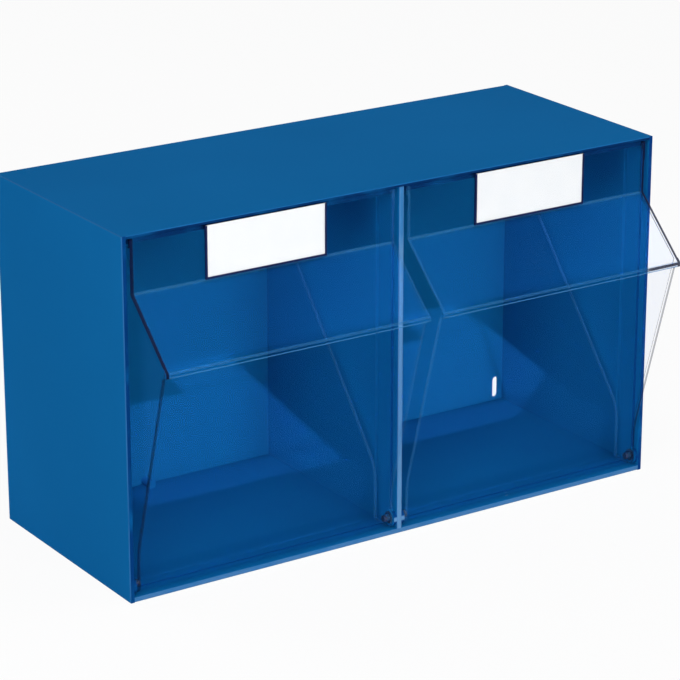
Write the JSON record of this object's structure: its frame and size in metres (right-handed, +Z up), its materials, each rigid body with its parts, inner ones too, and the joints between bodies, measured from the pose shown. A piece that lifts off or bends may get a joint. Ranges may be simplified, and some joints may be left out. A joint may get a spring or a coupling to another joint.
{
  "type": "tilt-out bin organizer",
  "caption": "Low cabinet with clear bins side by side that tilt forward on pivots at their lower front corners, each with a label holder.",
  "frame": {"origin": "centre of the whole object's bounding box at the plane it stands on", "axes": "+X to the right seen from the front, +Y from the bins to the back panel, +Z up"},
  "size_m": [0.6, 0.299, 0.353],
  "materials": {
    "housing_blue": "fine moulded grain, semi-matt",
    "bin_clear": "clear, polished mould",
    "label_holder": "smooth, dark navy",
    "label_paper": "white card",
    "label_film": "clear film",
    "pivot_plastic": "satin, dark",
    "screw_steel": "zinc plated"
  },
  "bodies": {
    "cabinet": {"left_side_panel": "housing_blue", "right_side_panel": "housing_blue", "top_panel": "housing_blue", "base_panel": "housing_blue", "centre_divider": "housing_blue", "back_panel": "housing_blue", "back_screws": "screw_steel", "left_bin_left_pivot": "pivot_plastic", "left_bin_right_pivot": "pivot_plastic", "right_bin_left_pivot": "pivot_plastic", "right_bin_right_pivot": "pivot_plastic"},
    "left_bin": {"left_bin_shell": "bin_clear", "left_label_frame": "label_holder", "left_label_card": "label_paper", "left_label_cover": "label_film"},
    "right_bin": {"right_bin_shell": "bin_clear", "right_label_frame": "label_holder", "right_label_card": "label_paper", "right_label_cover": "label_film"}
  },
  "joints": [
    {"name": "left_bin_tilt", "type": "hinge", "parent": "cabinet", "child": "left_bin", "pos_m": [-0.14925, -0.081, 0.0145], "axis": [1, 0, 0], "range_deg": [0, 36.5]},
    {"name": "right_bin_tilt", "type": "hinge", "parent": "cabinet", "child": "right_bin", "pos_m": [0.14925, -0.081, 0.0145], "axis": [1, 0, 0], "range_deg": [0, 36.5]}
  ]
}
